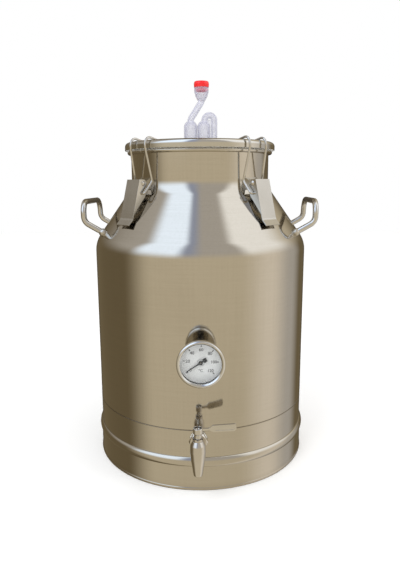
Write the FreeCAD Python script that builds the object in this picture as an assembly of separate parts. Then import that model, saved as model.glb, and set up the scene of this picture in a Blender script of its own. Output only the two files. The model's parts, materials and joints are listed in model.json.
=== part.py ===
import FreeCAD, Part
import math
import os

# Milk-can style stainless brew kettle with clamp lid, dial thermometer, drain tap and
# water-seal airlock.  Millimetres, +Z up, tap and thermometer toward -Y.
# Origin: on the kettle axis, in the plane of the foot ring's lower edge.

os.makedirs("parts", exist_ok=True)
V = FreeCAD.Vector
Z = V(0, 0, 1)

# ---------------- driving dimensions ----------------
body_r = 175.0            # outside radius of the cylinder
sheet = 1.5               # body sheet thickness
seam_z = 96.0             # girth weld between drawn bottom and cylinder
corner_z = 360.8          # cylinder / shoulder corner
weld_z = 346.0            # cylinder / shoulder weld, just below the bend
neck_weld_z = 462.0       # shoulder / neck weld, just above the bend
neck_r = 113.0            # outside radius of the neck
neck_corner_z = 449.3     # shoulder / neck corner
shoulder_bend = 45.0
neck_bend = 35.0
neck_top_z = 503.2        # centre height of the rolled neck rim
rim_roll_r = 3.2
rim_roll_R = 115.6
floor_z = 24.0            # underside of the drawn bottom
foot_h = 53.0             # height of the foot ring with its bead
foot_r = 176.6
bead_r = 179.2
lid_crest_R = 116.35      # radius of the lid rim's crest circle
lid_crest_r = 6.35
lid_crest_z = 512.65
lid_sheet = 1.0
lid_floor_z = 484.0
lid_edge_z = 506.6
air_x = 3.0               # airlock hole, off the lid centre
index_deg = -2.0          # handles and latches are turned this much from the tap line
latch_az = [-45.0, 45.0, 135.0, -135.0]   # from the front, toward +X
wire_r = 1.75
pivot = (130.0, 455.0)    # latch rivet, (radius, height)
pin = (132.36, 440.1)     # bail pin in the closed lever
half_ear = 14.0           # outer face of the bracket spacers
half_in = 14.4            # inner face of the lever flanges
half_out = 15.7
rivet_r = 2.2
handle_rod_r = 4.5
handle_half = 60.0
handle_x = 183.0
handle_top_z = 426.5
th_z = 213.0              # thermometer axis height
th_rest_deg = 213.2       # pointer direction at rest, from +X toward +Z
tap_y = -212.0            # tap barrel axis
tap_inlet_z = 82.0
tap_turn_deg = -1.2       # the tap sits this far round the wall from the thermometer line


# ---------------- helpers ----------------
def corner(a, b, c, r):
    """tangent points and mid point of a fillet at b"""
    u = (a - b)
    w = (c - b)
    u.normalize()
    w.normalize()
    half = math.acos(max(-1.0, min(1.0, u.dot(w)))) / 2.0
    t = r / math.tan(half)
    bis = u + w
    bis.normalize()
    cen = b + bis * (r / math.sin(half))
    return b + u * t, cen - bis * r, b + w * t


def filleted(pts, closed):
    """pts: [(Vector, radius)]; straight runs joined by tangent arcs"""
    n = len(pts)
    edges = []
    starts = []
    for i, (p, r) in enumerate(pts):
        if r > 0 and (closed or 0 < i < n - 1):
            starts.append(corner(pts[i - 1][0], p, pts[(i + 1) % n][0], r))
        else:
            starts.append((p, None, p))
    rng = range(n) if closed else range(n - 1)
    for i in range(n):
        a, m, b = starts[i]
        if m is not None:
            edges.append(Part.Arc(a, m, b).toShape())
        if i in rng:
            nxt = starts[(i + 1) % n][0]
            if (nxt - b).Length > 1e-6:
                edges.append(Part.LineSegment(b, nxt).toShape())
    return Part.Wire(Part.__sortEdges__(edges))


def face_rz(pts):
    """closed profile of (r, z[, fillet]) in the XZ plane"""
    return Part.Face(filleted([(V(p[0], 0, p[1]), p[2] if len(p) > 2 else 0) for p in pts], True))


def turn(pts):
    return face_rz(pts).revolve(V(0, 0, 0), Z, 360)


def rod(pts, r):
    """round bar along straight runs and tangent arcs; pts: [(x, y, z, bend)]"""
    path = filleted([(V(*p[:3]), p[3]) for p in pts], False)
    d = V(*pts[1][:3]) - V(*pts[0][:3])
    prof = Part.Wire([Part.Circle(V(*pts[0][:3]), d, r).toShape()])
    s = path.makePipeShell([prof], True, False)
    if not s.isValid() or s.Volume <= 0:
        raise RuntimeError("bad rod")
    return s if s.ShapeType == "Solid" else s.Solids[0]


def plate(pts, y0, y1):
    """polygon in (x, z) extruded along Y"""
    w = filleted([(V(p[0], y0, p[1]), p[2] if len(p) > 2 else 0) for p in pts], True)
    return Part.Face(w).extrude(V(0, y1 - y0, 0))


def cyl(r, p, d, h):
    return Part.makeCylinder(r, h, V(*p), V(*d))


def hexagon(af, p, d, h, spin=0.0):
    """hexagonal prism along -Y or Z starting at p"""
    rc = af / math.sqrt(3.0)
    dv = V(*d)
    if abs(dv.z) > 0.5:
        pts = [V(p[0] + rc * math.cos(math.radians(60 * i + spin)), p[1] + rc * math.sin(math.radians(60 * i + spin)), p[2]) for i in range(6)]
    else:
        pts = [V(p[0] + rc * math.cos(math.radians(60 * i + spin)), p[1], p[2] + rc * math.sin(math.radians(60 * i + spin))) for i in range(6)]
    f = Part.Face(Part.makePolygon(pts + [pts[0]]))
    return f.extrude(dv * h)


def place(s, az):
    """turn a part built on the +X radial line to azimuth az (from -Y toward +X)"""
    s = s.copy()
    s.rotate(V(0, 0, 0), Z, az - 90.0)
    return s


def out(name, shape):
    sols = shape.Solids
    if not sols:
        raise RuntimeError(name + ": no solid")
    for s in sols:
        if not s.isValid():
            raise RuntimeError(name + ": invalid solid")
    shape = sols[0] if len(sols) == 1 else Part.makeCompound(sols)
    shape.exportStep("parts/" + name + ".step")
    b = shape.BoundBox
    print("%-20s solids %d vol %.1f  x %.1f..%.1f y %.1f..%.1f z %.1f..%.1f" % (
        name, len(sols), shape.Volume, b.XMin, b.XMax, b.YMin, b.YMax, b.ZMin, b.ZMax))


# ---------------- kettle body ----------------
ang = math.atan2(neck_corner_z - corner_z, body_r - neck_r)      # slope of the shoulder
k = sheet * math.tan((math.pi / 2 - ang) / 2)                    # corner shift of the inside face
# rolled cylinder with a fine groove along the girth weld
tube_wall = turn([(body_r, seam_z), (body_r, weld_z), (body_r - sheet, weld_z), (body_r - sheet, seam_z)])
groove = turn([(body_r - 0.35, seam_z - 1), (body_r + 2, seam_z - 1), (body_r + 2, seam_z + 0.45), (body_r, seam_z + 0.45), (body_r - 0.35, seam_z)])
tube_wall = tube_wall.cut(groove).cut(cyl(11.0, (0, -150, th_z), (0, -1, 0), 60))
out("body_cylinder", tube_wall)
# spun shoulder, welded and polished flush at both ends
out("body_shoulder", turn([(body_r, weld_z), (body_r, corner_z, shoulder_bend), (neck_r, neck_corner_z, neck_bend), (neck_r, neck_weld_z),
                           (neck_r - sheet, neck_weld_z), (neck_r - sheet, neck_corner_z - k, neck_bend + sheet),
                           (body_r - sheet, corner_z - k, shoulder_bend - sheet), (body_r - sheet, weld_z)]))
# neck ring with its rolled rim
neck = turn([(neck_r, neck_weld_z), (neck_r, neck_top_z), (neck_r - sheet, neck_top_z), (neck_r - sheet, neck_weld_z)])
neck = neck.fuse(Part.makeTorus(rim_roll_R, rim_roll_r, V(0, 0, neck_top_z), Z, 0, 360)).removeSplitter()
out("body_neck", neck)
filled = turn([(0, seam_z - 60), (body_r, seam_z - 60), (body_r, corner_z, shoulder_bend), (neck_r, neck_corner_z, neck_bend), (neck_r, neck_top_z), (0, neck_top_z)])

# drawn bottom: flat floor, rounded knuckle and straight wall up to the girth weld
kn = 24.0                                      # outside radius of the knuckle
out("bottom_floor", cyl(body_r - kn, (0, 0, floor_z), (0, 0, 1), sheet))
out("bottom_knuckle", Part.Face(Part.Wire([
    Part.Arc(V(body_r - kn, 0, floor_z), V(body_r - kn + kn * math.sin(math.radians(45)), 0, floor_z + kn - kn * math.cos(math.radians(45))), V(body_r, 0, floor_z + kn)).toShape(),
    Part.makeLine(V(body_r, 0, floor_z + kn), V(body_r - sheet, 0, floor_z + kn)),
    Part.Arc(V(body_r - sheet, 0, floor_z + kn), V(body_r - kn + (kn - sheet) * math.sin(math.radians(45)), 0, floor_z + kn - (kn - sheet) * math.cos(math.radians(45))), V(body_r - kn, 0, floor_z + sheet)).toShape(),
    Part.makeLine(V(body_r - kn, 0, floor_z + sheet), V(body_r - kn, 0, floor_z)),
])).revolve(V(0, 0, 0), Z, 360))
pan_wall = turn([(body_r, floor_z + kn), (body_r, seam_z - 0.45), (body_r - 0.35, seam_z), (body_r - sheet, seam_z), (body_r - sheet, floor_z + kn)])
hole = cyl(7.2, (0, -150, tap_inlet_z), (0, -1, 0), 60)
hole.rotate(V(0, 0, 0), Z, tap_turn_deg)
out("bottom_wall", pan_wall.cut(hole))

# foot ring: skirt with hemmed lower edge and a rounded bead round its top
ring_face = Part.Face(Part.Wire([
    Part.makeLine(V(body_r + 0.02, 0, foot_h), V(body_r + 0.02, 0, 4.5)),
    Part.Arc(V(body_r + 0.02, 0, 4.5), V(body_r - 0.9, 0, 2.2), V(body_r, 0, 0)).toShape(),
    Part.makeLine(V(body_r, 0, 0), V(foot_r, 0, 0)),
    Part.Arc(V(foot_r, 0, 0), V(foot_r + 0.9, 0, 2.2), V(foot_r, 0, 4.5)).toShape(),
    Part.makeLine(V(foot_r, 0, 4.5), V(foot_r, 0, 38.6)),
    Part.Arc(V(foot_r, 0, 38.6), V(bead_r, 0, 45.2), V(body_r + 0.7, 0, foot_h)).toShape(),
    Part.makeLine(V(body_r + 0.7, 0, foot_h), V(body_r + 0.02, 0, foot_h)),
]))
out("foot_ring", ring_face.revolve(V(0, 0, 0), Z, 360))

# ---------------- lid ----------------
R, r, zc = lid_crest_R, lid_crest_r, lid_crest_z
ri = r - lid_sheet
lid_face = Part.Face(Part.Wire(Part.__sortEdges__([
    Part.Arc(V(R - r, 0, zc), V(R, 0, zc + r), V(R + r, 0, zc)).toShape(),
    Part.makeLine(V(R + r, 0, zc), V(R + r, 0, lid_edge_z + 0.5)),
    Part.Arc(V(R + r, 0, lid_edge_z + 0.5), V(R + r - 0.5, 0, lid_edge_z), V(R + ri, 0, lid_edge_z + 0.5)).toShape(),
    Part.makeLine(V(R + ri, 0, lid_edge_z + 0.5), V(R + ri, 0, zc)),
    Part.Arc(V(R + ri, 0, zc), V(R, 0, zc + ri), V(R - ri, 0, zc)).toShape(),
    Part.makeLine(V(R - ri, 0, zc), V(R - ri - 4.2, 0, lid_floor_z + 7.5)),
    Part.Arc(V(R - ri - 4.2, 0, lid_floor_z + 7.5), V(R - ri - 7.2, 0, lid_floor_z + 1.6), V(R - ri - 13.2, 0, lid_floor_z - 1.0)).toShape(),
    Part.makeLine(V(R - ri - 13.2, 0, lid_floor_z - 1.0), V(0, 0, lid_floor_z - 1.0)),
    Part.makeLine(V(0, 0, lid_floor_z - 1.0), V(0, 0, lid_floor_z)),
    Part.makeLine(V(0, 0, lid_floor_z), V(R - ri - 13.6, 0, lid_floor_z)),
    Part.Arc(V(R - ri - 13.6, 0, lid_floor_z), V(R - ri - 8.1, 0, lid_floor_z + 2.5), V(R - r - 4.2, 0, lid_floor_z + 7.8)).toShape(),
    Part.makeLine(V(R - r - 4.2, 0, lid_floor_z + 7.8), V(R - r, 0, zc)),
])))
lid = lid_face.revolve(V(0, 0, 0), Z, 360)
lid = lid.cut(cyl(9.0, (air_x, 0, lid_floor_z - 5), (0, 0, 1), 10))
out("lid", lid)

gasket = turn([(R - ri + 0.3, 506.5, 0.8), (R + ri - 0.3, 506.5, 0.8), (R + ri - 0.3, 512.2, 0.5), (R + 2.6, 516.4, 1.5), (R - 2.6, 516.4, 1.5), (R - ri + 0.3, 512.2, 0.5)])
out("lid_gasket", gasket)

# grommet that seals the airlock stem in the lid
gr = turn([(5.28, 477.5, 0), (11.0, 477.5, 1.0), (11.0, 482.95, 0.4), (8.95, 482.95, 0), (8.95, 484.05, 0), (12.5, 484.05, 0.4), (12.5, 487.0, 1.2), (8.4, 490.0, 1.0), (5.28, 490.0, 0)])
gr.translate(V(air_x, 0, 0))
out("airlock_grommet", gr)

# ---------------- airlock ----------------
xs = air_x


def s_tube(rr, z_low):
    return rod([(xs, 0, z_low, 0), (xs, 0, 497.0, 9), (xs + 20.7, 0, 517.0, 9), (xs + 20.7, 0, 563.9, 7.85),
                (xs + 5.0, 0, 563.9, 7.85), (xs + 5.0, 0, 541.0, 0)], rr)


def s_mid(rr):
    return rod([(xs + 3.7, 0, 535.0, 0), (xs + 3.7, 0, 510.2, 10.8), (xs - 17.9, 0, 510.2, 10.8), (xs - 17.9, 0, 535.0, 0)], rr)


def s_top(rr):
    return rod([(xs - 17.9, 0, 540.0, 0), (xs - 17.9, 0, 557.5, 12), (xs - 0.3, 0, 584.5, 8), (xs, 0, 591.0, 0)], rr)


def chamber(x, rr):
    c = Part.makeCylinder(rr, 14.0, V(x, 0, 531.0), Z)
    return c.fuse([Part.makeSphere(rr, V(x, 0, 545.0)), Part.makeSphere(rr, V(x, 0, 531.0))])


def cup(r0, r1, z0, z1, z2):
    """egg-cup shape: cone, fuller shoulder, short straight rim"""
    c = turn([(0, z0), (r0, z0), (r0 + (r1 - r0) * 0.66, z0 + (z1 - z0) * 0.48, 8.0), (r1, z1, 6.0), (r1, z2), (0, z2)])
    c.translate(V(xs, 0, 0))
    return c


outer_air = s_tube(5.2, 461.0).fuse([s_mid(5.2), s_top(5.2), chamber(xs - 17.9, 11.0), chamber(xs + 3.7, 10.7),
                                     cup(5.2, 11.7, 585.5, 600.0, 607.0),
                                     Part.makeBox(9.0, 2.0, 30.0, V(xs + 10.5, -1.0, 527.0)),
                                     Part.makeBox(8.0, 2.0, 16.0, V(xs - 11.0, -1.0, 548.0 - 18.0))])
inner_air = s_tube(3.9, 460.0).fuse([s_mid(3.9), s_top(3.9), chamber(xs - 17.9, 9.7), chamber(xs + 3.7, 9.4),
                                     cup(3.9, 10.5, 586.2, 600.6, 608.0)])
out("airlock_body", outer_air.cut(inner_air))

# push-on dust cap: skirt inside the cup, flared head above it
cap = turn([(0, 606.0), (9.2, 606.0), (9.2, 601.5), (10.2, 601.5), (10.2, 607.2), (11.8, 607.2), (12.3, 612.0, 3.0), (11.4, 616.4, 1.3), (0, 616.4)])
cap.translate(V(xs, 0, 0))
out("airlock_cap", cap)

# ---------------- lid latches ----------------
def y_hole(s, x, z, rr):
    return s.cut(cyl(rr, (x, -40, z), (0, 1, 0), 80))


# bracket: curved plate spot-welded over the neck corner, two ears out to the rivet
plate_t = 1.6
lift = plate_t * math.tan((math.pi / 2 - ang) / 2)
raised = turn([(0, seam_z - 60), (body_r + plate_t, seam_z - 60), (body_r + plate_t, corner_z + lift, shoulder_bend + plate_t),
               (neck_r + plate_t, neck_corner_z + lift, neck_bend - plate_t), (neck_r + plate_t, neck_top_z), (0, neck_top_z)])
pad = Part.makeBox(30.0, 26.0, 17.0, V(100, -13.0, 446.5))
base = raised.common(pad).cut(filled)
ear_pts = [(neck_r + 0.4, 461.6), (neck_r + 2.2, 462.3), (122.6, 457.6, 2), (127.0, 457.4), (129.0, 450.6), (120.5, 448.6, 2), (117.0, 448.4), (115.0, 452.0)]
ears = []
for s in (1, -1):
    y0 = 11.0 if s > 0 else -12.5
    e = plate(ear_pts, y0, y0 + 1.5)
    e = e.fuse(Part.makeCylinder(4.9, 1.5, V(pivot[0], y0, pivot[1]), V(0, 1, 0)))
    ears.append(e.cut(filled))
# short spacer collars on the ears keep the lever flanges centred
spac = []
for s in (1, -1):
    y0 = 12.5 if s > 0 else -half_ear
    spac.append(Part.makeCylinder(3.6, half_ear - 12.5, V(pivot[0], y0, pivot[1]), V(0, 1, 0)))
bracket = base.fuse(ears + spac).removeSplitter()
bracket = y_hole(bracket, pivot[0], pivot[1], rivet_r + 0.02)

# rivet with domed heads
rv = cyl(rivet_r, (pivot[0], -half_out - 0.4, pivot[1]), (0, 1, 0), 2 * half_out + 0.8)
for s in (1, -1):
    y0 = half_out + 0.1
    h = Part.makeSphere(5.4, V(pivot[0], s * (y0 - 3.7), pivot[1]))
    keep = Part.makeBox(20, 20, 20, V(pivot[0] - 10, y0 if s > 0 else -y0 - 20, pivot[1] - 10))
    rv = rv.fuse(h.common(keep))
rv = rv.removeSplitter()

# lever: pressed channel, web outward, both flanges pierced for rivet and bail, tip flicked out
web = plate([(135.2, 460.8), (150.2, 401.5, 7), (158.2, 393.2), (159.1, 394.2), (151.3, 402.3, 8), (136.5, 461.0)], -half_out, half_out)
fl_pts = [(135.8, 460.8), (127.0, 460.8, 3), (123.6, 455.0, 5), (126.2, 436.5, 8), (147.4, 411.0), (150.2, 404.4)]
flange_p = plate(fl_pts, half_in, half_out)
flange_n = plate(fl_pts, -half_out, -half_in)
lever = web.fuse([flange_p, flange_n]).removeSplitter()
lever = y_hole(lever, pivot[0], pivot[1], rivet_r + 0.08)
lever = y_hole(lever, pin[0], pin[1], wire_r + 0.08)

# bail: one sprung wire, pinned in the lever, hooked over the lid rim
bail = rod([(pin[0], 14.1, pin[1], 0), (pin[0], 20.4, pin[1], 2.6), (117.2, 20.9, 458.0, 8), (127.4, 18.0, 509.0, 20),
            (124.4, 18.0, 524.0, 8.5), (103.0, 18.0, 518.2, 4.0), (103.0, -18.0, 518.2, 4.0), (124.4, -18.0, 524.0, 8.5),
            (127.4, -18.0, 509.0, 20), (117.2, -20.9, 458.0, 8), (pin[0], -20.4, pin[1], 2.6), (pin[0], -14.1, pin[1], 0)], wire_r)

rivets = []
for i, az in enumerate(latch_az):
    a = az + index_deg
    out("latch_bracket_%d" % (i + 1), place(bracket, a))
    out("latch_lever_%d" % (i + 1), place(lever, a))
    out("latch_bail_%d" % (i + 1), place(bail, a))
    rivets.append(place(rv, a))
out("latch_rivets", Part.makeCompound(rivets))

# ---------------- side handles ----------------
hw = handle_half
hpath = [(138.0, -hw, 369.2, 0), (handle_x, -hw, 394.8, 15), (handle_x + 1.0, -hw, handle_top_z, 20), (handle_x + 1.0, hw, handle_top_z, 20), (handle_x, hw, 394.8, 15), (138.0, hw, 369.2, 0)]
bar = rod(hpath, handle_rod_r)
handle = bar.cut(filled)
handle = max(handle.Solids, key=lambda q: q.Volume)
welds = []
for s in (1, -1):
    # where the leg meets the shoulder
    c = V(153.4, s * hw, 378.0)
    blob = Part.makeSphere(6.6, c).cut(filled).cut(bar)
    welds.append(max(blob.Solids, key=lambda q: q.Volume))
out("handle_right", place(handle, 90.0 + index_deg))
out("handle_left", place(handle, -90.0 + index_deg))
out("handle_welds", Part.makeCompound([place(w, a + index_deg) for a in (90.0, -90.0) for w in welds]))


# ---------------- thermometer ----------------
def ty(pts):
    """turned part about the thermometer axis; pts are (radius, distance from kettle axis)"""
    s = turn([(p[0], p[1]) + tuple(p[2:]) for p in pts])
    s.rotate(V(0, 0, 0), V(1, 0, 0), 90)          # +Z -> -Y
    s.translate(V(0, 0, th_z))
    return s


out("thermo_socket", ty([(6.62, 168.0), (10.98, 168.0, 0.6), (10.98, 186.0, 0.8), (6.62, 186.0)]))
conn = ty([(4.3, 166.0), (6.5, 166.0, 0.5), (6.5, 187.2), (7.6, 187.2), (7.6, 203.4), (4.3, 203.4)])
hx = hexagon(22.0, (0, -187.2, th_z), (0, -1, 0), 9.5, 30.0)
hx = hx.cut(cyl(5.0, (0, -180, th_z), (0, -1, 0), 30))
conn = conn.fuse(hx).removeSplitter()
out("thermo_connector", conn)
out("thermo_seal", ty([(6.6, 186.05, 0), (10.2, 186.05, 0.4), (10.2, 187.15, 0.4), (6.6, 187.15, 0)]))
out("thermo_stem", ty([(3.5, 88.0), (3.5, 203.0), (4.2, 203.0), (4.2, 86.5, 2.0), (0, 86.5), (0, 88.0)]))
out("thermo_case", ty([(4.35, 203.5), (29.5, 203.5, 3.0), (31.4, 207.0, 2.0), (31.4, 214.6), (30.7, 214.6), (30.7, 207.4, 1.2), (29.2, 204.4, 2.2), (4.35, 204.4)]))
out("thermo_bezel", ty([(31.45, 210.0), (33.0, 210.0, 0.6), (33.5, 214.0, 0.8), (33.4, 217.4, 1.4), (31.0, 219.0, 1.3), (28.6, 217.0, 0.4), (28.6, 215.9), (31.45, 215.9)]))
out("thermo_glass", ty([(0, 213.6), (30.5, 213.6), (30.5, 215.6), (0, 215.6)]))
out("thermo_dial", ty([(1.0, 206.2), (29.9, 206.2), (29.9, 206.9), (1.0, 206.9)]))
spin = ty([(0, 96.0), (0.8, 96.0), (0.8, 208.6), (0, 208.6)])
out("thermo_spindle", spin)
ptr = plate([(-9.6, -2.7, 0.6), (-9.6, 2.7, 0.6), (-5.2, 3.1, 0.8), (-3.4, 1.0), (0, 1.1), (24.5, 0.4), (24.5, -0.4), (0, -1.1), (-3.4, -1.0), (-5.2, -3.1, 0.8)], 0, 0.6)
ptr = ptr.fuse(Part.makeCylinder(3.0, 1.4, V(0, -0.4, 0), V(0, 1, 0)))
ptr = ptr.cut(cyl(0.82, (0, -5, 0), (0, 1, 0), 10))
ptr.rotate(V(0, 0, 0), V(0, 1, 0), -th_rest_deg)
ptr.translate(V(0, -209.4, th_z))
out("thermo_pointer", ptr)
hel = Part.makeHelix(4.0, 32.0, 2.2)
hp = Part.Wire([Part.Circle(V(2.2, 0, 0), V(0, 1, 0), 0.4).toShape()])
coil = Part.Wire(hel).makePipeShell([hp], True, True)
coil = coil.Solids[0]
coil.rotate(V(0, 0, 0), V(1, 0, 0), 90)
coil.translate(V(0, -98.0, th_z))
out("thermo_bimetal", coil)


# ---------------- drain tap ----------------
def tap_out(name, shape):
    """tap pieces are modelled on the -Y line, then turned round the wall"""
    shape = shape.copy()
    shape.rotate(V(0, 0, 0), Z, tap_turn_deg)
    out(name, shape)


def tz(pts):
    s = turn(pts)
    s.translate(V(0, tap_y, 0))
    return s


barrel = tz([(0, 46.3), (6.4, 46.3, 0.8), (7.3, 51.0, 6), (8.4, 59.0, 20), (10.2, 70.0, 25), (11.5, 83.0, 10), (11.0, 92.5, 5), (7.6, 99.6, 1.2), (0, 99.6)])
pipe = cyl(6.8, (0, tap_y + 4, tap_inlet_z), (0, 1, 0), 56.0)
collar = cyl(9.0, (0, -192.0, tap_inlet_z), (0, 1, 0), 7.0)
tapb = barrel.fuse([pipe, collar]).removeSplitter()
tapb = tapb.cut(cyl(4.6, (0, tap_y, 40), (0, 0, 1), 35))
tapb = tapb.cut(cyl(6.55, (0, tap_y, 71.5), (0, 0, 1), 24.0))
tapb = tapb.cut(cyl(4.3, (0, tap_y, 90), (0, 0, 1), 20))
tapb = tapb.cut(cyl(4.2, (0, tap_y + 3, tap_inlet_z), (0, 1, 0), 60.0))
tap_out("tap_body", tapb)
# hex nut that clamps the tap against the wall
nut = hexagon(25.0, (0, -184.9, tap_inlet_z), (0, 1, 0), 6.5, 0.0).cut(cyl(6.86, (0, -190, tap_inlet_z), (0, 1, 0), 30))
cone = Part.makeCone(14.3, 12.0, 2.3, V(0, -182.6, tap_inlet_z), V(0, -1, 0))
nut = nut.common(cone.fuse(cyl(14.6, (0, -182.6, tap_inlet_z), (0, 1, 0), 10)))
tap_out("tap_nut", nut)
wash = cyl(13.0, (0, -178.3, tap_inlet_z), (0, 1, 0), 8.0).cut(cyl(6.9, (0, -190, tap_inlet_z), (0, 1, 0), 30)).cut(filled)
tap_out("tap_washer", max(wash.Solids, key=lambda q: q.Volume))
inner_fill = turn([(0, 30), (body_r - sheet - 0.02, 30), (body_r - sheet - 0.02, 130), (0, 130)])
iw = cyl(12.5, (0, -175.0, tap_inlet_z), (0, 1, 0), 5.0).cut(cyl(6.9, (0, -190, tap_inlet_z), (0, 1, 0), 40)).common(inner_fill)
tap_out("tap_inner_washer", max(iw.Solids, key=lambda q: q.Volume))
tap_out("tap_locknut", hexagon(24.0, (0, -169.9, tap_inlet_z), (0, 1, 0), 5.5, 0.0).cut(cyl(6.86, (0, -190, tap_inlet_z), (0, 1, 0), 40)))
# rotating plug with an L-shaped way through: side port faces -X when shut
plug = tz([(0, 71.6), (6.5, 71.6, 0.3), (6.5, 95.4, 0.3), (4.22, 95.4), (4.22, 104.0), (3.2, 104.0), (3.2, 115.8), (0, 115.8)])
plug = plug.cut(cyl(4.2, (0, tap_y, tap_inlet_z), (-1, 0, 0), 20)).cut(cyl(4.2, (0, tap_y, 60), (0, 0, 1), 22.0))
plug = plug.cut(Part.makeSphere(4.2, V(0, tap_y, tap_inlet_z)))
tap_out("tap_plug", plug)
# castellated stop collar under the lever
stop = tz([(4.3, 99.65), (7.4, 99.65, 0.4), (7.4, 103.2), (4.3, 103.2)])
for i in range(6):
    n = Part.makeBox(6.0, 2.0, 2.0, V(3.4, -1.0, 101.8))
    n.rotate(V(0, 0, 0), Z, 60 * i + 30)
    n.translate(V(0, tap_y, 0))
    stop = stop.cut(n)
tap_out("tap_stop_collar", stop)
# lever: turned hub, arm and flat paddle
hub = tz([(3.25, 104.05), (5.4, 104.05, 0.4), (5.6, 109.0, 1.5), (6.9, 111.4, 0.6), (6.9, 118.8, 0.9), (5.4, 118.8, 0.3), (5.2, 114.4), (3.25, 114.4)])
arm = plate([(5.9, 114.6), (17.0, 115.6, 4), (22.0, 113.3, 3), (51.0, 114.9, 2.2), (54.2, 117.5, 3), (53.6, 125.6, 2.2), (21.0, 122.9, 4), (16.0, 118.6, 4), (5.9, 118.0)], -1.6, 1.6)
rec = plate([(24.0, 115.4, 1.5), (51.0, 117.0, 1.5), (50.6, 123.4, 1.5), (23.6, 121.2, 1.5)], -4, -1.15)
rec2 = plate([(24.0, 115.4, 1.5), (51.0, 117.0, 1.5), (50.6, 123.4, 1.5), (23.6, 121.2, 1.5)], 1.15, 4)
arm = arm.cut(rec).cut(rec2)
arm.translate(V(0, tap_y, 0))
ring_clear = Part.makeCylinder(5.6, 12, V(0, tap_y, 110), Z)
arm = arm.cut(ring_clear)
lev = hub.fuse(arm).removeSplitter()
tap_out("tap_lever", lev)
tn = hexagon(7.0, (0, tap_y, 114.5), (0, 0, 1), 2.6, 10.0).cut(cyl(3.24, (0, tap_y, 110), (0, 0, 1), 20))
tap_out("tap_lever_nut", tn)
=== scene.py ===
import json
import math

import bmesh
import bpy
from mathutils import Matrix, Vector

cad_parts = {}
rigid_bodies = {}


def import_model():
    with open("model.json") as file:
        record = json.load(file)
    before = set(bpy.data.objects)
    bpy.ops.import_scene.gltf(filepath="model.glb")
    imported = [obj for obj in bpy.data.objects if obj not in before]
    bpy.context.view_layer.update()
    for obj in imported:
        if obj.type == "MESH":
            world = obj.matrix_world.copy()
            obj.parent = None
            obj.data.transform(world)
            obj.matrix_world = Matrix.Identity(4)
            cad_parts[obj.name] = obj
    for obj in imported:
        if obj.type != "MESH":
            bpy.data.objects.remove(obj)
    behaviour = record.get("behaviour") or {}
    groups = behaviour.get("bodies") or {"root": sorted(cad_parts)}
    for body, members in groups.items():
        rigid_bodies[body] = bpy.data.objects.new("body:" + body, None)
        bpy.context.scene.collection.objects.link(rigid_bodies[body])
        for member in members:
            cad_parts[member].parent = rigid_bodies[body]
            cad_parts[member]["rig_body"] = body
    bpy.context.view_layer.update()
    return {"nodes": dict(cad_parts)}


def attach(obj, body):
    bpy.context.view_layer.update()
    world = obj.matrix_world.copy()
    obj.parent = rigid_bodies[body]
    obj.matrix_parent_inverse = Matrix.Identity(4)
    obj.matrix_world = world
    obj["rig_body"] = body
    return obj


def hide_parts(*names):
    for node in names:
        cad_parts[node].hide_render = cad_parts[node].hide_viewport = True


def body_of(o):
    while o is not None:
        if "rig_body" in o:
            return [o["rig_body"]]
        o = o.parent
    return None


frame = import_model()
scene = bpy.context.scene
NODES = frame["nodes"]
MM = 0.001
INDEX = -2.0                                   # handles and latches sit this many degrees off the tap line
LATCHES = [-45.0, 45.0, 135.0, -135.0]


# ------------------------------------------------------------------ geometry helpers
def v2(a):
    return Vector((a[0], a[1]))


def round_profile(pts, closed=True, step=4.0):
    """pts (r, z[, fillet]) in mm -> dense list of (r, z); straight runs get a support point near each end"""
    n = len(pts)
    out = []
    for i, p in enumerate(pts):
        rad = p[2] if len(p) > 2 else 0.0
        if rad <= 0 or (not closed and i in (0, n - 1)):
            out.append((p[0], p[1], 0))
            continue
        a, b, c = v2(pts[i - 1]), v2(p), v2(pts[(i + 1) % n])
        u, w = (a - b).normalized(), (c - b).normalized()
        half = math.acos(max(-1, min(1, u.dot(w)))) / 2
        t = rad / math.tan(half)
        cen = b + (u + w).normalized() * (rad / math.sin(half))
        s, e = b + u * t - cen, b + w * t - cen
        a0, a1 = math.atan2(s.y, s.x), math.atan2(e.y, e.x)
        d = (a1 - a0 + math.pi) % (2 * math.pi) - math.pi
        k = max(3, int(abs(math.degrees(d)) / step))
        for j in range(k + 1):
            th = a0 + d * j / k
            out.append((cen.x + rad * math.cos(th), cen.y + rad * math.sin(th), 1))
    return support(out, closed)


def support(pts, closed=True, gap=0.35):
    res = []
    n = len(pts)
    for i in range(n):
        a = pts[i]
        res.append((a[0], a[1]))
        if not closed and i == n - 1:
            break
        b = pts[(i + 1) % n]
        L = math.hypot(b[0] - a[0], b[1] - a[1])
        if L > 5 * gap:
            for t in (gap / L, 1 - gap / L):
                res.append((a[0] + (b[0] - a[0]) * t, a[1] + (b[1] - a[1]) * t))
    return res


def arc(cx, cz, r, a0, a1, k=12):
    return [(cx + r * math.cos(math.radians(a0 + (a1 - a0) * j / k)), cz + r * math.sin(math.radians(a0 + (a1 - a0) * j / k))) for j in range(k + 1)]


def finish_mesh(name, verts, faces, sharp=32.0):
    me = bpy.data.meshes.new(name)
    me.from_pydata([tuple(c * MM for c in v) for v in verts], [], faces)
    bm = bmesh.new()
    bm.from_mesh(me)
    bmesh.ops.remove_doubles(bm, verts=bm.verts, dist=1e-7)
    bmesh.ops.dissolve_degenerate(bm, edges=bm.edges, dist=1e-7)
    bmesh.ops.recalc_face_normals(bm, faces=bm.faces)
    bm.to_mesh(me)
    bm.free()
    me.shade_smooth()
    me.set_sharp_from_angle(angle=math.radians(sharp))
    ob = bpy.data.objects.new(name, me)
    scene.collection.objects.link(ob)
    return ob


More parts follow.
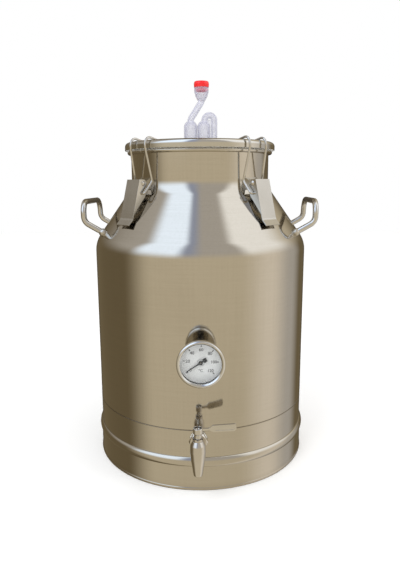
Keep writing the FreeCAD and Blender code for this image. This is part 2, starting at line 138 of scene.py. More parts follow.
def lathe(name, prof, seg=96, matrix=None, closed=True, sharp=32.0, center=(0, 0)):
    """turned piece: prof is a list of (r, z) in mm. matrix maps the turned frame to the kettle frame (mm)"""
    verts, faces = [], []
    n = len(prof)
    for i in range(seg):
        a = 2 * math.pi * i / seg
        c, s = math.cos(a), math.sin(a)
        for r, z in prof:
            verts.append((r * c + center[0], r * s + center[1], z))
    m = n if closed else n - 1
    for i in range(seg):
        for j in range(m):
            a, b = i * n + j, i * n + (j + 1) % n
            c, d = ((i + 1) % seg) * n + (j + 1) % n, ((i + 1) % seg) * n + j
            faces.append((a, b, c, d))
    if matrix is not None:
        verts = [tuple(matrix @ Vector(v)) for v in verts]
    clean = []
    for f in faces:
        g = []
        for i in f:
            if not g or (Vector(verts[i]) - Vector(verts[g[-1]])).length > 1e-6:
                g.append(i)
        if len(g) > 2 and (Vector(verts[g[0]]) - Vector(verts[g[-1]])).length <= 1e-6:
            g.pop()
        if len(g) > 2:
            clean.append(tuple(g))
    return finish_mesh(name, verts, clean, sharp)


def path_points(pts, step=5.0):
    """pts (x, y, z, bend) -> smooth list of points along straight runs and tangent arcs"""
    out = []
    n = len(pts)
    for i, p in enumerate(pts):
        b, rad = Vector(p[:3]), p[3]
        if i in (0, n - 1) or rad <= 0:
            out.append(b)
            continue
        a, c = Vector(pts[i - 1][:3]), Vector(pts[i + 1][:3])
        u, w = (a - b).normalized(), (c - b).normalized()
        half = math.acos(max(-1, min(1, u.dot(w)))) / 2
        t = rad / math.tan(half)
        cen = b + (u + w).normalized() * (rad / math.sin(half))
        s, e = (b + u * t - cen), (b + w * t - cen)
        ang = s.angle(e)
        axis = s.cross(e).normalized()
        k = max(3, int(math.degrees(ang) / step))
        for j in range(k + 1):
            out.append(cen + Matrix.Rotation(ang * j / k, 3, axis) @ s)
    res = [out[0]]
    for q in out[1:]:
        if (q - res[-1]).length > 0.02:
            res.append(q)
    full = [res[0]]
    for i in range(1, len(res)):
        L = (res[i] - res[i - 1]).length
        if L > 2.4:
            for t in (0.4 / L, 1 - 0.4 / L):
                full.append(res[i - 1].lerp(res[i], t))
        full.append(res[i])
    return full


def tube(name, pts, r, seg=24, cap_round=0.35, sharp=38.0):
    """round bar along a path, with rounded-off ends"""
    P = path_points(pts)
    T = []
    for i in range(len(P)):
        a, b = P[max(0, i - 1)], P[min(len(P) - 1, i + 1)]
        T.append((b - a).normalized())
    ref = Vector((0, 0, 1)) if abs(T[0].z) < 0.9 else Vector((1, 0, 0))
    N = (ref - T[0] * ref.dot(T[0])).normalized()
    rings = []
    rows = []
    for i, p in enumerate(P):
        if i:
            ax = T[i - 1].cross(T[i])
            if ax.length > 1e-9:
                N = Matrix.Rotation(T[i - 1].angle(T[i]), 3, ax.normalized()) @ N
            N = (N - T[i] * N.dot(T[i])).normalized()
        rows.append((p, N.copy(), T[i].cross(N), r))
    c = cap_round
    p0, n0, b0, _ = rows[0]
    p1, n1, b1, _ = rows[-1]
    head = [(p0 + T[0] * c, n0, b0, r)]
    first = [(p0 + T[0] * (c - c * math.sin(math.radians(22.5 * k))), n0, b0, r - c * (1 - math.cos(math.radians(22.5 * k)))) for k in (4, 3, 2, 1)]
    last = [(p1 - T[-1] * (c - c * math.sin(math.radians(22.5 * k))), n1, b1, r - c * (1 - math.cos(math.radians(22.5 * k)))) for k in (1, 2, 3, 4)]
    rows = first + head + rows[1:-1] + [(p1 - T[-1] * c, n1, b1, r)] + last
    verts, faces = [], []
    for p, n, b, rr in rows:
        for i in range(seg):
            a = 2 * math.pi * i / seg
            verts.append(tuple(p + n * (rr * math.cos(a)) + b * (rr * math.sin(a))))
    for k in range(len(rows) - 1):
        for i in range(seg):
            j = (i + 1) % seg
            faces.append((k * seg + i, k * seg + j, (k + 1) * seg + j, (k + 1) * seg + i))
    faces.append(tuple(range(seg))[::-1])
    faces.append(tuple((len(rows) - 1) * seg + i for i in range(seg)))
    return finish_mesh(name, verts, faces, sharp)


def turn_to(ob, az):
    """piece modelled on the +X radial line -> azimuth az from the front toward +X"""
    ob.data.transform(Matrix.Rotation(math.radians(az - 90.0), 4, "Z"))
    return ob


def from_cad(name, node, bevel=0.25, sharp=32.0, dissolve=1.5, segs=2):
    """finished copy of a CAD node: welded, flat areas cleaned, broken edges"""
    me = NODES[node].data.copy()
    me.name = name
    bm = bmesh.new()
    bm.from_mesh(me)
    bmesh.ops.remove_doubles(bm, verts=bm.verts, dist=2e-6)
    if dissolve:
        bmesh.ops.dissolve_limit(bm, angle_limit=math.radians(dissolve), verts=bm.verts, edges=bm.edges)
    bmesh.ops.recalc_face_normals(bm, faces=bm.faces)
    bm.to_mesh(me)
    bm.free()
    me.materials.clear()
    me.shade_smooth()
    me.set_sharp_from_angle(angle=math.radians(sharp))
    ob = bpy.data.objects.new(name, me)
    scene.collection.objects.link(ob)
    if bevel:
        m = ob.modifiers.new("edges", "BEVEL")
        m.width = bevel * MM
        m.segments = segs
        m.limit_method = "ANGLE"
        m.angle_limit = math.radians(sharp)
        m.use_clamp_overlap = True
        m.harden_normals = True
    return ob


MATS = {}
PIECES = []


def put(ob, body, mat, slot, *nodes):
    """gives a finished piece its material, body and the CAD nodes that it stands for"""
    ob.data.materials.clear()
    ob.data.materials.append(MATS[mat])
    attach(ob, body)
    if nodes:
        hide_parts(*nodes)
    PIECES.append(ob)
    return ob


# ------------------------------------------------------------------ materials
class Nodes:
    def __init__(self, name):
        self.m = bpy.data.materials.new(name)
        self.m.use_nodes = True
        self.t = self.m.node_tree
        self.t.nodes.clear()
        self.out = self.t.nodes.new("ShaderNodeOutputMaterial")
        self.b = self.t.nodes.new("ShaderNodeBsdfPrincipled")
        self.t.links.new(self.b.outputs[0], self.out.inputs[0])
        self.co = self.t.nodes.new("ShaderNodeTexCoord").outputs["Object"]
        MATS[name] = self.m

    def link(self, a, b):
        self.t.links.new(a, b)

    def scaled(self, s, rot=(0, 0, 0)):
        n = self.t.nodes.new("ShaderNodeMapping")
        n.inputs["Scale"].default_value = s
        n.inputs["Rotation"].default_value = rot
        self.link(self.co, n.inputs["Vector"])
        return n.outputs[0]

    def noise(self, vec, scale=1.0, detail=3.0, rough=0.5, dist=0.0):
        n = self.t.nodes.new("ShaderNodeTexNoise")
        n.inputs["Scale"].default_value = scale
        n.inputs["Detail"].default_value = detail
        n.inputs["Roughness"].default_value = rough
        n.inputs["Distortion"].default_value = dist
        self.link(vec, n.inputs["Vector"])
        return n.outputs["Fac"]

    def ramp(self, fac, lo, hi, a, b):
        n = self.t.nodes.new("ShaderNodeMapRange")
        n.inputs["From Min"].default_value = lo
        n.inputs["From Max"].default_value = hi
        n.inputs["To Min"].default_value = a
        n.inputs["To Max"].default_value = b
        self.link(fac, n.inputs["Value"])
        return n.outputs[0]

    def math(self, op, a, b=None, c=None):
        n = self.t.nodes.new("ShaderNodeMath")
        n.operation = op
        for i, v in enumerate((a, b, c)):
            if v is None:
                continue
            if isinstance(v, (int, float)):
                n.inputs[i].default_value = v
            else:
                self.link(v, n.inputs[i])
        return n.outputs[0]

    def xyz(self):
        n = self.t.nodes.new("ShaderNodeSeparateXYZ")
        self.link(self.co, n.inputs[0])
        return n.outputs

    def mix(self, fac, a, b):
        n = self.t.nodes.new("ShaderNodeMix")
        n.data_type = "RGBA"
        if isinstance(fac, (int, float)):
            n.inputs[0].default_value = fac
        else:
            self.link(fac, n.inputs[0])
        for i, v in ((6, a), (7, b)):
            if isinstance(v, tuple):
                n.inputs[i].default_value = (*v, 1.0)
            else:
                self.link(v, n.inputs[i])
        return n.outputs[2]

    def bump(self, height, distance, strength=1.0, after=None):
        n = self.t.nodes.new("ShaderNodeBump")
        n.inputs["Strength"].default_value = strength
        n.inputs["Distance"].default_value = distance
        self.link(height, n.inputs["Height"])
        if after is not None:
            self.link(after, n.inputs["Normal"])
        return n.outputs[0]

    def set(self, **kw):
        for k, v in kw.items():
            s = self.b.inputs[k.replace("_", " ")]
            if isinstance(v, (int, float)):
                s.default_value = v
            elif isinstance(v, tuple):
                s.default_value = (*v, 1.0)
            else:
                self.link(v, s)


def metal(name, color, shade, rough, spread, grain, grain_depth, wave=0.0, wave_scale=5.0, smudge=9.0):
    """stainless steel. grain is the stretch of the polishing lines in metres^-1 per axis"""
    n = Nodes(name)
    lines = n.noise(n.scaled(grain), 1.0, 3.0, 0.6)
    marks = n.noise(n.co, smudge, 5.0, 0.62, 0.4)
    tint = n.noise(n.co, smudge * 0.37, 2.0, 0.5)
    n.set(Metallic=1.0, Base_Color=n.mix(n.ramp(tint, 0.3, 0.7, 0.0, 1.0), color, shade))
    mixed = n.math("ADD", n.math("MULTIPLY", lines, 0.45), n.math("MULTIPLY", marks, 0.55))
    n.set(Roughness=n.ramp(mixed, 0.32, 0.68, max(0.02, rough - spread), rough + spread))
    nrm = n.bump(lines, grain_depth)
    if wave:
        nrm = n.bump(n.noise(n.co, wave_scale, 1.0, 0.4), wave, 1.0, nrm)
    n.set(Normal=nrm)
    return n


# mirror-polished sheet of the kettle: faint circumferential polishing, slow waviness, girth weld and back seam, and a
# painted shade darkening the bottom of the foot towards the floor
n = Nodes("polished_steel")
x, y, z = n.xyz()
lines = n.noise(n.scaled((14.0, 14.0, 950.0)), 1.0, 3.0, 0.62)
cross = n.noise(n.scaled((420.0, 420.0, 9.0)), 1.0, 2.0, 0.6)
marks = n.noise(n.co, 7.0, 6.0, 0.62, 0.5)
tint = n.noise(n.co, 2.6, 2.0, 0.5)
girth = n.ramp(n.math("ABSOLUTE", n.math("SUBTRACT", z, 0.0962)), 0.0005, 0.0013, 1.0, 0.0)
back = n.math("MULTIPLY", n.ramp(n.math("ABSOLUTE", x), 0.0010, 0.0022, 1.0, 0.0), n.ramp(y, 0.05, 0.08, 0.0, 1.0))
weld = n.math("MAXIMUM", girth, n.math("MULTIPLY", back, n.math("MULTIPLY", n.ramp(z, 0.096, 0.098, 0.0, 1.0), 0.75)))
# painted shade: this mask darkens the lowest 12 mm of the foot where it meets the floor
foot = n.ramp(z, 0.0, 0.012, 1.0, 0.0)
base = n.mix(n.ramp(tint, 0.3, 0.7, 0.0, 1.0), (0.605, 0.570, 0.508), (0.560, 0.528, 0.470))
base = n.mix(n.ramp(marks, 0.56, 0.80, 0.0, 0.35), base, (0.500, 0.462, 0.400))
base = n.mix(n.ramp(n.math("ADD", n.math("MULTIPLY", lines, 0.6), n.math("MULTIPLY", cross, 0.4)), 0.42, 0.66, 0.0, 0.30), base, (0.500, 0.468, 0.405))
base = n.mix(n.math("MULTIPLY", weld, 0.75), base, (0.150, 0.118, 0.082))
# painted shade: the bottom of the foot mixed up to a quarter toward dark brown, standing in for shade near the floor
base = n.mix(n.math("MULTIPLY", foot, 0.25), base, (0.300, 0.260, 0.200))
mixed = n.math("ADD", n.math("MULTIPLY", lines, 0.40), n.math("ADD", n.math("MULTIPLY", marks, 0.42), n.math("MULTIPLY", cross, 0.18)))
rough = n.math("ADD", n.ramp(mixed, 0.34, 0.66, 0.055, 0.125), n.math("MULTIPLY", weld, 0.25))
bmp = n.bump(n.math("ADD", lines, n.math("MULTIPLY", cross, 0.5)), 0.0000022)
bmp = n.bump(n.noise(n.scaled((3.2, 3.2, 1.5)), 1.0, 1.5, 0.4), 0.0016, 1.0, bmp)
ripple = n.noise(n.co, 900.0, 2.0, 0.5)
bmp = n.bump(n.math("MULTIPLY", weld, n.math("ADD", 0.5, ripple)), 0.00012, 1.0, bmp)
n.set(Metallic=1.0, Base_Color=base, Roughness=rough, Normal=bmp)

metal("lid_steel", (0.660, 0.645, 0.610), (0.610, 0.592, 0.552), 0.10, 0.035, (16, 16, 900), 0.000002, 0.0006, 7.0)
metal("pressed_steel", (0.640, 0.622, 0.585), (0.560, 0.540, 0.498), 0.20, 0.06, (90, 90, 700), 0.000006, 0.0006, 30.0, 40.0)
metal("steel_wire", (0.680, 0.662, 0.630), (0.600, 0.580, 0.545), 0.13, 0.05, (300, 300, 120), 0.000004, 0.0, 5.0, 60.0)
metal("handle_steel", (0.700, 0.690, 0.668), (0.620, 0.606, 0.580), 0.16, 0.05, (260, 90, 260), 0.000006, 0.0003, 40.0, 45.0)
metal("turned_steel", (0.665, 0.640, 0.600), (0.600, 0.572, 0.530), 0.075, 0.03, (60, 60, 1400), 0.0000018, 0.0, 5.0, 55.0)
metal("lever_steel", (0.690, 0.670, 0.635), (0.620, 0.600, 0.560), 0.20, 0.06, (500, 900, 900), 0.000012, 0.0, 5.0, 60.0)
metal("gauge_steel", (0.700, 0.695, 0.680), (0.640, 0.633, 0.615), 0.11, 0.04, (900, 60, 900), 0.000003, 0.0, 5.0, 50.0)

# welded beads: rippled, slightly straw-tinted at the edges
n = Nodes("weld_steel")
rip = n.noise(n.co, 620.0, 3.0, 0.55, 0.6)
n.set(Metallic=1.0, Base_Color=n.mix(n.ramp(n.noise(n.co, 140.0, 2.0), 0.35, 0.65, 0.0, 1.0), (0.70, 0.69, 0.66), (0.52, 0.47, 0.39)),
      Roughness=n.ramp(rip, 0.3, 0.7, 0.14, 0.34), Normal=n.bump(rip, 0.0005))

# silicone seals
n = Nodes("silicone")
g = n.noise(n.co, 900.0, 3.0)
n.set(Base_Color=n.mix(n.ramp(n.noise(n.co, 30.0, 3.0), 0.3, 0.7, 0.0, 1.0), (0.74, 0.73, 0.69), (0.64, 0.63, 0.58)),
      Roughness=n.ramp(g, 0.3, 0.7, 0.48, 0.66), Normal=n.bump(g, 0.00006))
n.b.inputs["Subsurface Weight"].default_value = 0.15
n.b.inputs["Subsurface Radius"].default_value = (0.002, 0.002, 0.0018)

# clear moulded plastic of the airlock: thin walls, a little milky, brighter where it is thicker
n = Nodes("clear_plastic")
w = n.noise(n.scaled((160, 160, 60)), 1.0, 2.0, 0.5, 0.3)
fres = n.t.nodes.new("ShaderNodeLayerWeight")
fres.inputs["Blend"].default_value = 0.42
n.set(Base_Color=n.mix(n.ramp(n.noise(n.co, 60.0, 3.0), 0.3, 0.7, 0.0, 1.0), (0.62, 0.62, 0.75), (0.55, 0.55, 0.68)),
      Roughness=n.ramp(w, 0.3, 0.7, 0.04, 0.12), Normal=n.bump(w, 0.00002), Alpha=n.ramp(fres.outputs["Facing"], 0.0, 1.0, 0.18, 0.66))
n.b.inputs["IOR"].default_value = 1.45

# glossy red cap
n = Nodes("red_plastic")
w = n.noise(n.co, 220.0, 3.0)
n.set(Base_Color=n.mix(n.ramp(n.noise(n.co, 90.0, 2.0), 0.3, 0.7, 0.0, 1.0), (0.86, 0.012, 0.016), (0.74, 0.006, 0.012)),
      Roughness=n.ramp(w, 0.3, 0.7, 0.20, 0.32), Normal=n.bump(w, 0.00008))
n.b.inputs["Coat Weight"].default_value = 0.35
n.b.inputs["Coat Roughness"].default_value = 0.12

# dial enamel, printed black, pointer paint
n = Nodes("dial_white")
w = n.noise(n.co, 1500.0, 2.0)
n.set(Base_Color=n.mix(n.ramp(n.noise(n.co, 45.0, 3.0), 0.3, 0.7, 0.0, 1.0), (0.74, 0.75, 0.74), (0.69, 0.70, 0.685)),
      Roughness=n.ramp(w, 0.3, 0.7, 0.42, 0.55), Normal=n.bump(w, 0.00001))
n = Nodes("dial_ink")
w = n.noise(n.co, 2600.0, 2.0)
n.set(Base_Color=n.mix(n.ramp(w, 0.3, 0.7, 0.0, 1.0), (0.012, 0.012, 0.014), (0.030, 0.030, 0.032)), Roughness=n.ramp(w, 0.3, 0.7, 0.38, 0.5))
n = Nodes("pointer_black")
w = n.noise(n.co, 1800.0, 2.0)
n.set(Base_Color=n.mix(n.ramp(w, 0.3, 0.7, 0.0, 1.0), (0.010, 0.010, 0.011), (0.024, 0.024, 0.026)), Roughness=n.ramp(w, 0.3, 0.7, 0.28, 0.42),
      Normal=n.bump(w, 0.00001))

# flat gauge glass: nearly invisible, with a thin gloss
n = Nodes("gauge_glass")
w = n.noise(n.co, 35.0, 3.0)
n.set(Base_Color=n.mix(n.ramp(w, 0.3, 0.7, 0.0, 1.0), (0.30, 0.32, 0.33), (0.25, 0.27, 0.29)), Roughness=n.ramp(w, 0.3, 0.7, 0.01, 0.05))
n.b.inputs["Alpha"].default_value = 0.06
n.b.inputs["IOR"].default_value = 1.5


# ------------------------------------------------------------------ pieces
def arc3(a, b, c, k=10):
    """points along the arc from a to c through b"""
    ax, ay, bx, by, cx, cy = a[0], a[1], b[0], b[1], c[0], c[1]
    d = 2 * (ax * (by - cy) + bx * (cy - ay) + cx * (ay - by))
    ux = ((ax * ax + ay * ay) * (by - cy) + (bx * bx + by * by) * (cy - ay) + (cx * cx + cy * cy) * (ay - by)) / d
    uy = ((ax * ax + ay * ay) * (cx - bx) + (bx * bx + by * by) * (ax - cx) + (cx * cx + cy * cy) * (bx - ax)) / d
    r = math.hypot(ax - ux, ay - uy)
    t0, t1, t2 = (math.atan2(p[1] - uy, p[0] - ux) for p in (a, b, c))
    ccw = (t1 - t0) % (2 * math.pi) < (t2 - t0) % (2 * math.pi)
    sweep = (t2 - t0) % (2 * math.pi) if ccw else -((t0 - t2) % (2 * math.pi))
    return [(ux + r * math.cos(t0 + sweep * j / k), uy + r * math.sin(t0 + sweep * j / k)) for j in range(k + 1)]




def piece(node, mat, slot, bevel=0.2, sharp=32.0, dissolve=1.5, segs=2, name=None):
    return put(from_cad((name or node) + "_look", node, bevel, sharp, dissolve, segs), body_of(NODES[node])[0], mat, slot, node)


# kettle wall: cylinder, shoulder and neck are polished flush into one skin
shell = round_profile([(174.65, 96.0), (175.0, 96.45), (175.0, 360.8, 45.0), (113.0, 449.3, 35.0)]
                      + arc(115.6, 503.2, 3.2, 215.65, 540.0, 40)
                      + [(111.5, 503.2), (111.5, 448.83, 36.5), (173.5, 360.33, 43.5), (173.5, 96.0)], True, 2.5)
put(lathe("kettle_wall", shell, 288, sharp=40.0), "kettle", "polished_steel", "polished_steel", "body_cylinder", "body_shoulder", "body_neck")

dish = round_profile([(0.0, 24.0), (175.0, 24.0, 24.0), (175.0, 95.55), (174.65, 96.0), (173.5, 96.0), (173.5, 25.5, 22.5), (0.0, 25.5)], True, 3.0)
put(lathe("kettle_bottom", dish, 288, sharp=40.0), "kettle", "polished_steel", "polished_steel", "bottom_floor", "bottom_knuckle", "bottom_wall")

foot = ([(175.02, 53.0), (175.02, 4.5)] + arc3((175.02, 4.5), (174.1, 2.2), (175.0, 0.0), 8)[1:] + [(176.6, 0.0)]
        + arc3((176.6, 0.0), (177.5, 2.2), (176.6, 4.5), 8)[1:] + [(176.6, 38.6)] + arc3((176.6, 38.6), (179.2, 45.2), (175.7, 53.0), 20)[1:])
put(lathe("foot_skirt", support(foot), 288, sharp=45.0), "kettle", "polished_steel", "polished_steel", "foot_ring")

lid = (arc3((110.0, 512.65), (116.35, 519.0), (122.7, 512.65), 24) + [(122.7, 507.1)] + arc3((122.7, 507.1), (122.2, 506.6), (121.7, 507.1), 6)[1:]
       + [(121.7, 512.65)] + arc3((121.7, 512.65), (116.35, 518.0), (111.0, 512.65), 20)[1:] + [(106.8, 491.5)]
       + arc3((106.8, 491.5), (103.8, 485.6), (97.8, 483.0), 8)[1:] + [(0.0, 483.0), (0.0, 484.0), (97.4, 484.0)]
       + arc3((97.4, 484.0), (102.9, 486.5), (105.8, 491.8), 8)[1:])
put(lathe("lid_sheet", support(lid), 256, sharp=40.0), "kettle", "lid_steel", "lid_steel", "lid")
piece("lid_gasket", "silicone", "silicone", 0.0)

TY = Matrix.Translation((0, 0, 213.0)) @ Matrix.Rotation(math.radians(90), 4, "X")
bez = round_profile([(31.45, 210.0), (33.0, 210.0, 0.6), (33.5, 214.0, 0.8), (33.4, 217.4, 1.4), (31.0, 219.0, 1.3), (28.6, 217.0, 0.4), (28.6, 215.9), (31.45, 215.9)], True, 10)
put(lathe("gauge_bezel", bez, 128, TY, sharp=45.0), "kettle", "gauge_steel", "gauge_steel", "thermo_bezel")
case = round_profile([(4.35, 203.5), (29.5, 203.5, 3.0), (31.4, 207.0, 2.0), (31.4, 214.6), (30.7, 214.6), (30.7, 207.4, 1.2), (29.2, 204.4, 2.2), (4.35, 204.4)], True, 10)
put(lathe("gauge_case", case, 128, TY, sharp=45.0), "kettle", "gauge_steel", "gauge_steel", "thermo_case")
put(lathe("gauge_glass", [(0.0, 213.6), (30.3, 213.6), (30.5, 213.8), (30.5, 215.4), (30.3, 215.6), (0.0, 215.6)], 96, TY), "kettle", "gauge_glass", "gauge_glass", "thermo_glass")

HAND = {
    "airlock_grommet": ("silicone", 0.0), "thermo_seal": ("silicone", 0.0), "tap_washer": ("silicone", 0.15), "tap_inner_washer": ("silicone", 0.15),
    "airlock_body": ("clear_plastic", 0.0), "airlock_cap": ("red_plastic", 0.15),
    "latch_rivets": ("turned_steel", 0.0), "handle_welds": ("weld_steel", 0.0),
    "handle_right": ("handle_steel", 0.0), "handle_left": ("handle_steel", 0.0),
    "thermo_socket": ("turned_steel", 0.15), "thermo_connector": ("turned_steel", 0.2), "thermo_stem": ("turned_steel", 0.0),
    "thermo_bimetal": ("steel_wire", 0.0), "thermo_dial": ("dial_white", 0.0), "thermo_spindle": ("turned_steel", 0.0), "thermo_pointer": ("pointer_black", 0.0),
    "tap_body": ("turned_steel", 0.25), "tap_nut": ("turned_steel", 0.25), "tap_locknut": ("turned_steel", 0.25), "tap_plug": ("turned_steel", 0.15),
    "tap_stop_collar": ("turned_steel", 0.12), "tap_lever": ("lever_steel", 0.25), "tap_lever_nut": ("turned_steel", 0.2),
}
for k in range(1, 5):
    HAND["latch_bracket_%d" % k] = ("pressed_steel", 0.15)
    HAND["latch_lever_%d" % k] = ("pressed_steel", 0.22)
    HAND["latch_bail_%d" % k] = ("steel_wire", 0.0)
SLOT = {"handle_steel": "steel_wire", "weld_steel": "steel_wire"}
for node, (mat, bev) in HAND.items():
    clear = node == "airlock_body"
    piece(node, mat, SLOT.get(mat, mat), bev, 50.0 if clear else 32.0, 0.0 if clear else 1.5)

# ------------------------------------------------------------------ dial print
CX, CZ, FACE = 0.0, 213.0, -206.9


def printed(name, polys, lift=0.05):
    """flat ink shapes on the dial: polys are lists of (x, z) in mm round the dial centre"""
    verts, faces = [], []
    for poly in polys:
        i0 = len(verts)
        m = len(poly)
        for y in (FACE + 0.02, FACE - lift):
            verts += [(CX + p[0], y, CZ + p[1]) for p in poly]
        faces.append(tuple(i0 + i for i in range(m)))
        faces.append(tuple(i0 + m + i for i in range(m))[::-1])
        for i in range(m):
            j = (i + 1) % m
            faces.append((i0 + i, i0 + j, i0 + m + j, i0 + m + i))
    return finish_mesh(name, verts, faces, 30.0)


def dial_angle(t):
    """degrees from +X toward +Z for a reading in degrees C"""
    return 218.0 - t * (260.0 / 120.0)


ticks = []
for t in range(0, 121, 20):
    a = math.radians(dial_angle(t))
    d, n = (math.cos(a), math.sin(a)), (-math.sin(a), math.cos(a))
    ticks.append([(d[0] * r + n[0] * q * 0.6, d[1] * r + n[1] * q * 0.6) for r, q in ((22.0, -1), (25.0, -1), (25.0, 1), (22.0, 1))])
put(printed("dial_ticks", ticks), "kettle", "dial_ink", "pointer_black")

rings = []
for k in range(40):
    a0, a1 = math.radians(360 * k / 40), math.radians(360 * (k + 1) / 40)
    if 15 < (360 * k / 40) % 180 < 165:
        rings.append([(4.7 * math.cos(a0), 4.7 * math.sin(a0)), (5.1 * math.cos(a0), 5.1 * math.sin(a0)), (5.1 * math.cos(a1), 5.1 * math.sin(a1)), (4.7 * math.cos(a1), 4.7 * math.sin(a1))])
put(printed("dial_arcs", rings, 0.03), "kettle", "dial_ink", "pointer_black")


def numeral(name, text, x, z, height):
    cu = bpy.data.curves.new(name, "FONT")
    cu.body = text
    cu.size = height * MM / 0.70
    cu.align_x = "CENTER"
    cu.align_y = "CENTER"
    cu.extrude = 0.00003
    cu.offset = 0.00007
    cu.resolution_u = 4
    tmp = bpy.data.objects.new(name + "_t", cu)
    scene.collection.objects.link(tmp)
    bpy.context.view_layer.update()
    me = bpy.data.meshes.new_from_object(tmp.evaluated_get(bpy.context.evaluated_depsgraph_get()))
    me.name = name
    bpy.data.objects.remove(tmp)
    me.transform(Matrix.Translation(((CX + x) * MM, (FACE - 0.03) * MM, (CZ + z) * MM)) @ Matrix.Rotation(math.radians(90), 4, "X"))
    ob = bpy.data.objects.new(name, me)
    scene.collection.objects.link(ob)
    return put(ob, "kettle", "dial_ink", "pointer_black")


for t in range(0, 121, 20):
    a = math.radians(dial_angle(t))
    numeral("dial_no_%d" % t, str(t), 18.0 * math.cos(a), 18.0 * math.sin(a), 4.4 if t < 100 else 4.1)
numeral("dial_unit", "°C", 0.0, -12.0, 4.0)


# ------------------------------------------------------------------ surroundings
world = bpy.data.worlds.new("studio")
scene.world = world
world.use_nodes = True
wt = world.node_tree
wt.nodes.clear()


def wn(kind, **kw):
    nd = wt.nodes.new(kind)
    for k, v in kw.items():
        setattr(nd, k, v)
    return nd


def wmath(op, a, b=None):
    nd = wn("ShaderNodeMath", operation=op)
    for i, v in enumerate((a, b)):
        if v is None:
            continue
        if isinstance(v, (int, float)):
            nd.inputs[i].default_value = v
        else:
            wt.links.new(v, nd.inputs[i])
    return nd.outputs[0]


def wramp(fac, stops):
    nd = wn("ShaderNodeValToRGB")
    nd.color_ramp.interpolation = "EASE"
    el = nd.color_ramp.elements
    while len(el) > 1:
        el.remove(el[-1])
    for i, (az, c) in enumerate(stops):
        p = (az + 180.0) / 360.0
        e = el[0] if i == 0 else el.new(p)
        e.position = p
        e.color = (c[0] / 2.5, c[1] / 2.5, c[2] / 2.5, 1.0)
    wt.links.new(fac, nd.inputs[0])
    return nd.outputs[0]


tc = wn("ShaderNodeTexCoord")
sep = wn("ShaderNodeSeparateXYZ")
wt.links.new(tc.outputs["Generated"], sep.inputs[0])
az = wmath("ADD", wmath("DIVIDE", wmath("ARCTAN2", sep.outputs[0], wmath("MULTIPLY", sep.outputs[1], -1.0)), 2 * math.pi), 0.5)
# plain studio: warm grey walls, darker to the left and behind, paler to the right, two soft panels overhead
DARK, SHADE, WARM, PALE, NEUTRAL, PANEL = (0.06, 0.05, 0.04), (0.18, 0.14, 0.08), (0.68, 0.60, 0.45), (0.90, 0.82, 0.70), (0.55, 0.52, 0.48), (1.30, 1.50, 1.80)
COOL, SOFT = (0.40, 0.45, 0.60), (1.25, 1.25, 1.25)
low = wramp(az, [(-180, DARK), (-140, SHADE), (-90, SHADE), (-50, WARM), (40, WARM), (80, PALE), (115, NEUTRAL), (140, SHADE), (180, DARK)])
high = wramp(az, [(-180, SHADE), (-85, NEUTRAL), (-65, PANEL), (-30, PANEL), (-15, COOL), (5, NEUTRAL), (40, NEUTRAL), (60, SOFT), (95, SOFT), (130, WARM), (180, SHADE)])


def wstep(a0, a1):
    nd = wn("ShaderNodeMapRange", interpolation_type="SMOOTHSTEP")
    nd.inputs["From Min"].default_value = a0
    nd.inputs["From Max"].default_value = a1
    wt.links.new(sep.outputs[2], nd.inputs["Value"])
    return nd.outputs[0]


def wmix(fac, a, b):
    nd = wn("ShaderNodeMix", data_type="RGBA")
    wt.links.new(fac, nd.inputs[0])
    for i, v in ((6, a), (7, b)):
        if isinstance(v, tuple):
            nd.inputs[i].default_value = v
        else:
            wt.links.new(v, nd.inputs[i])
    return nd.outputs[2]


tone = wmix(wstep(0.02, 0.50), low, high)
lp = wn("ShaderNodeLightPath")
plain = (1.0 / 2.5, 1.0 / 2.5, 1.0 / 2.5, 1.0)
bg = wn("ShaderNodeBackground")
wt.links.new(wmix(lp.outputs["Is Glossy Ray"], plain, tone), bg.inputs["Color"])
bg.inputs["Strength"].default_value = 2.5
wout = wn("ShaderNodeOutputWorld")
wt.links.new(bg.outputs[0], wout.inputs["Surface"])

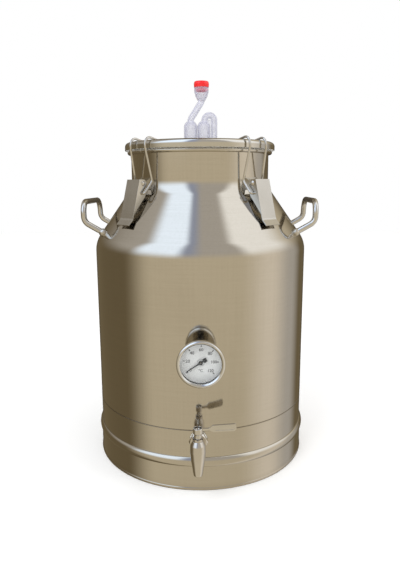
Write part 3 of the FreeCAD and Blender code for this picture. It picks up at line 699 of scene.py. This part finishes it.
# plain pale floor
fm = Nodes("pale_floor")
fw = fm.noise(fm.co, 3.0, 3.0)
fm.set(Base_Color=fm.mix(fm.ramp(fw, 0.3, 0.7, 0.0, 1.0), (0.93, 0.93, 0.93), (0.90, 0.90, 0.895)), Roughness=fm.ramp(fw, 0.3, 0.7, 0.7, 0.85))
fm.b.inputs["Emission Color"].default_value = (1.0, 1.0, 1.0, 1.0)
fm.b.inputs["Emission Strength"].default_value = 0.10
fme = bpy.data.meshes.new("floor")
fme.from_pydata([(-4, -4, -0.0004), (4, -4, -0.0004), (4, 4, -0.0004), (-4, 4, -0.0004)], [], [(0, 1, 2, 3)])
floor = bpy.data.objects.new("floor", fme)
scene.collection.objects.link(floor)
fme.materials.append(MATS["pale_floor"])
floor.visible_glossy = False


def area(name, loc, target, size, power, color):
    ld = bpy.data.lights.new(name, "AREA")
    ld.shape = "RECTANGLE"
    ld.size, ld.size_y = size
    ld.energy = power
    ld.color = color
    lo = bpy.data.objects.new(name, ld)
    lo.matrix_world = Matrix.Translation(loc) @ (Vector(loc) - Vector(target)).to_track_quat("Z", "Y").to_matrix().to_4x4()
    scene.collection.objects.link(lo)
    lo.visible_camera = False
    lo.visible_glossy = False
    return lo


area("soft_left", (-1.1, -1.5, 2.2), (0, 0, 0.3), (1.2, 1.2), 20.0, (0.97, 0.985, 1.0))
area("soft_right", (1.9, -0.9, 1.7), (0, 0, 0.3), (1.0, 1.4), 14.0, (1.0, 0.985, 0.97))


# ------------------------------------------------------------------ camera
cam_data = bpy.data.cameras.new("camera")
cam = bpy.data.objects.new("camera", cam_data)
scene.collection.objects.link(cam)
cam_data.sensor_fit = "AUTO"
cam_data.sensor_width = 36.0
cam_data.lens = 33.13
cam_data.clip_start = 0.01
cam_data.clip_end = 50.0
cam.matrix_world = Matrix.Translation((0.0, -0.895, 0.4566)) @ Matrix.Rotation(math.radians(90.0 - 10.89), 4, "X") @ Matrix.Rotation(math.radians(-0.25), 4, "Z")
cam_data.shift_x = -(199.63 - 200.0) / 570.0 * -1.0
cam_data.shift_y = (283.1 - 285.0) / 570.0
scene.camera = cam
scene.view_settings.view_transform = "Standard"
